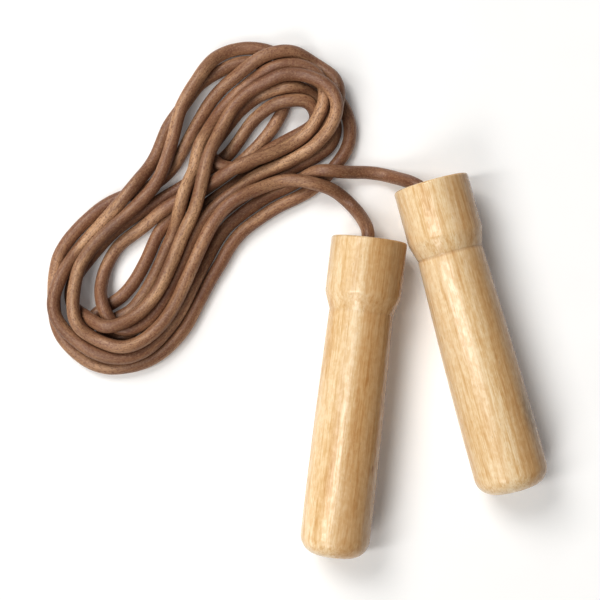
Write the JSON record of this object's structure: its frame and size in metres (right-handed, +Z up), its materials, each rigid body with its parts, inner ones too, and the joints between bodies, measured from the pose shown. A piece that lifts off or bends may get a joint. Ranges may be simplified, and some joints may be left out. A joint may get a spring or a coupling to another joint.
{
  "type": "jump rope",
  "caption": "Round leather cord, coiled, between turned lacquered wooden handles that spin round the cord's ends on ball bearings.",
  "frame": {"origin": "on the floor, under the middle of the rope's bounding box", "axes": "+Z is up from the floor the rope lies on; +Y points the way the handles' mouths face, roughly along the handles; +X is to the right, seen from above"},
  "size_m": [0.2255, 0.2343, 0.0343],
  "materials": {
    "leather_cord": "round brown leather cord, fine grain, slightly waxed",
    "lacquered_wood": "pale hardwood with fine lengthwise grain under clear gloss lacquer",
    "bearing_steel": "ground bearing steel",
    "brass": "plain turned brass",
    "nylon_cage": "natural nylon"
  },
  "bodies": {
    "cord": {"rope_coil": "leather_cord"},
    "left_swivel": {"left_rope_end": "leather_cord", "left_bush": "brass", "left_bearing_inner_race": "bearing_steel", "left_thrust_washer": "bearing_steel", "left_ferrule": "brass"},
    "left_grip": {"left_handle": "lacquered_wood", "left_bearing_outer_race": "bearing_steel", "left_front_shield": "bearing_steel", "left_rear_shield": "bearing_steel"},
    "left_ball_set": {"left_bearing_cage": "nylon_cage", "left_ball_1": "bearing_steel", "left_ball_2": "bearing_steel", "left_ball_3": "bearing_steel", "left_ball_4": "bearing_steel", "left_ball_5": "bearing_steel", "left_ball_6": "bearing_steel", "left_ball_7": "bearing_steel"},
    "right_swivel": {"right_rope_end": "leather_cord", "right_bush": "brass", "right_bearing_inner_race": "bearing_steel", "right_thrust_washer": "bearing_steel", "right_ferrule": "brass"},
    "right_grip": {"right_handle": "lacquered_wood", "right_bearing_outer_race": "bearing_steel", "right_front_shield": "bearing_steel", "right_rear_shield": "bearing_steel"},
    "right_ball_set": {"right_bearing_cage": "nylon_cage", "right_ball_1": "bearing_steel", "right_ball_2": "bearing_steel", "right_ball_3": "bearing_steel", "right_ball_4": "bearing_steel", "right_ball_5": "bearing_steel", "right_ball_6": "bearing_steel", "right_ball_7": "bearing_steel"}
  },
  "joints": [
    {"name": "left_swing", "type": "hinge", "parent": "cord", "child": "left_swivel", "pos_m": [0.03321, 0.01884, 0.01726], "axis": [0, 0, 1], "range_deg": [-30, 0]},
    {"name": "left_spin", "type": "hinge", "parent": "left_swivel", "child": "left_grip", "pos_m": [0.0339, 0.0248, 0.01735], "axis": [0.1149, 0.9933, 0.0138], "continuous": true},
    {"name": "left_ball_orbit", "type": "hinge", "parent": "left_swivel", "child": "left_ball_set", "pos_m": [0.0339, 0.0248, 0.01735], "axis": [0.1149, 0.9933, 0.0138], "continuous": true},
    {"name": "right_swing", "type": "hinge", "parent": "cord", "child": "right_swivel", "pos_m": [0.06288, 0.04441, 0.01709], "axis": [0, 0, 1], "range_deg": [0, 40]},
    {"name": "right_spin", "type": "hinge", "parent": "right_swivel", "child": "right_grip", "pos_m": [0.0613, 0.0502, 0.01711], "axis": [-0.2639, 0.9645, 0.0046], "continuous": true},
    {"name": "right_ball_orbit", "type": "hinge", "parent": "right_swivel", "child": "right_ball_set", "pos_m": [0.0613, 0.0502, 0.01711], "axis": [-0.2639, 0.9645, 0.0046], "continuous": true}
  ],
  "couplings": [
    {"joint": "left_ball_orbit", "follows": "left_spin", "ratio": 0.632},
    {"joint": "right_ball_orbit", "follows": "right_spin", "ratio": 0.632}
  ]
}
